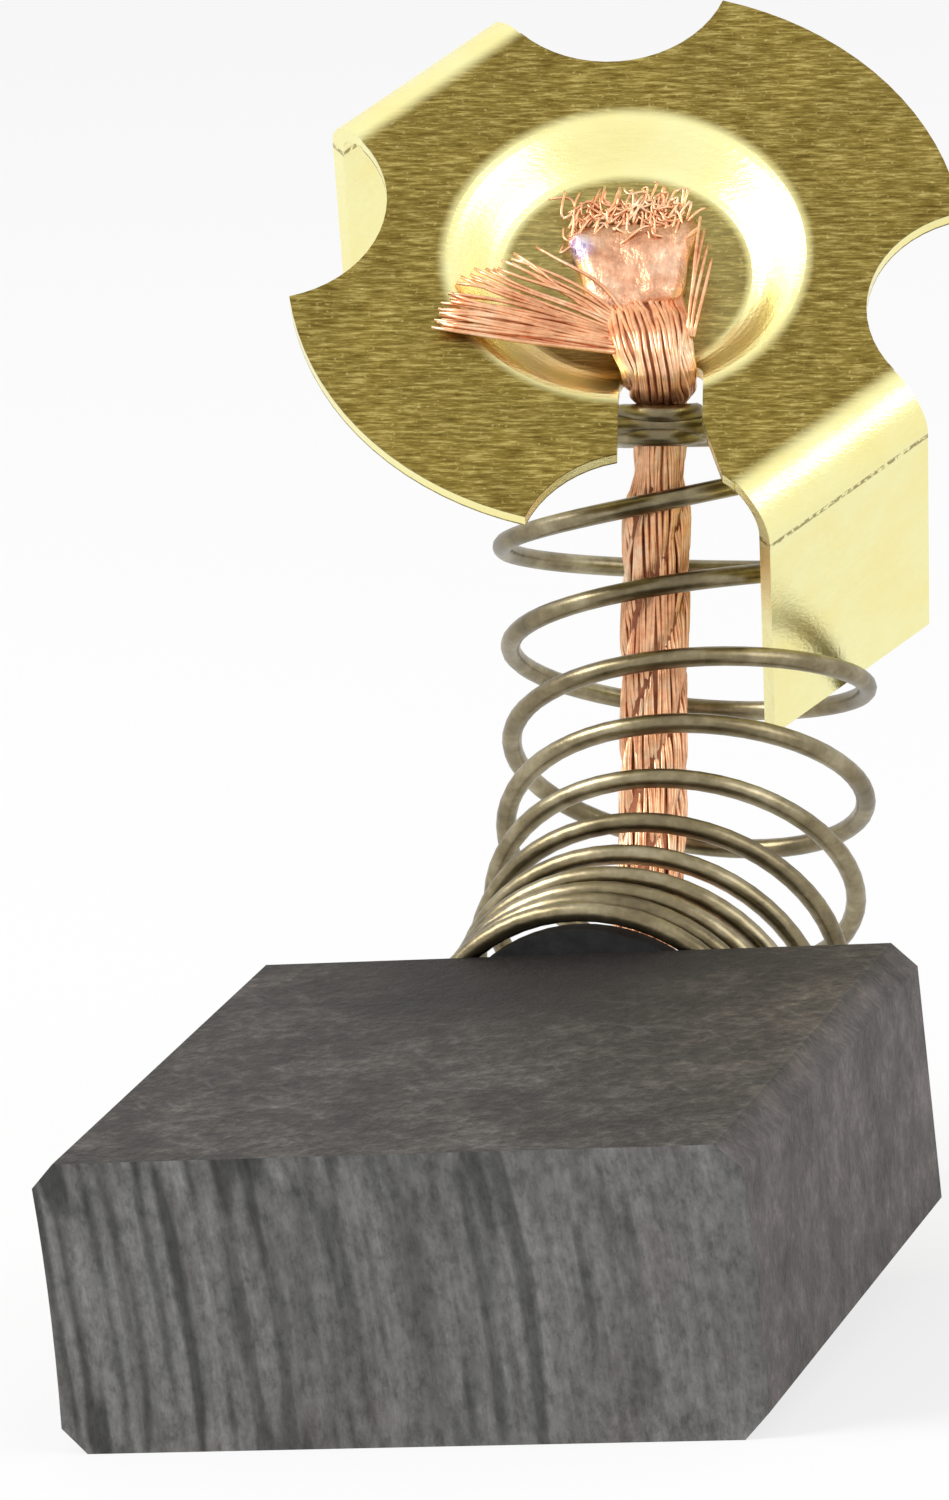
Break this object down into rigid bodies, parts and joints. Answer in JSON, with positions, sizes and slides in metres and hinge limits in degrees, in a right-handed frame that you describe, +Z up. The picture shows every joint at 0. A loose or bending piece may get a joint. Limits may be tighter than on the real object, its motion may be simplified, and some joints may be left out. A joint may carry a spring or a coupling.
{
  "type": "carbon brush",
  "caption": "A carbon brush for a power tool motor: dark carbon block with a worn contact face, bent coil spring, bare copper pigtail and folded brass terminal cap, lying on a table.",
  "frame": {"origin": "the middle of the carbon block's underside", "axes": "X runs across the block's width, to its right seen from the contact face; Y runs from the contact face to the spring, level with the table; Z is up, and the block's underside slopes by 4 degrees as the brush lies"},
  "size_m": [0.0191, 0.04, 0.0293],
  "materials": {
    "carbon": "matte graphite, striated by wear on the contact face",
    "copper": "bare stranded copper",
    "fibre": "black vulcanised fibre",
    "spring_wire": "drawn spring wire with a bronze tint",
    "brass": "brushed flats, bright folds"
  },
  "bodies": {
    "brush": {"carbon_block": "carbon", "tamping_plug": "copper", "insulating_washer": "fibre", "coil_spring": "spring_wire", "pigtail": "copper"},
    "terminal": {"terminal_cap": "brass"}
  },
  "joints": [
    {"name": "spring_compression", "type": "slide", "parent": "brush", "child": "terminal", "axis": [-0.0423, -0.5246, -0.8503], "range_m": [0, 0.003], "stiffness_N_per_m": 300, "deforming": ["coil_spring", "pigtail"]}
  ]
}
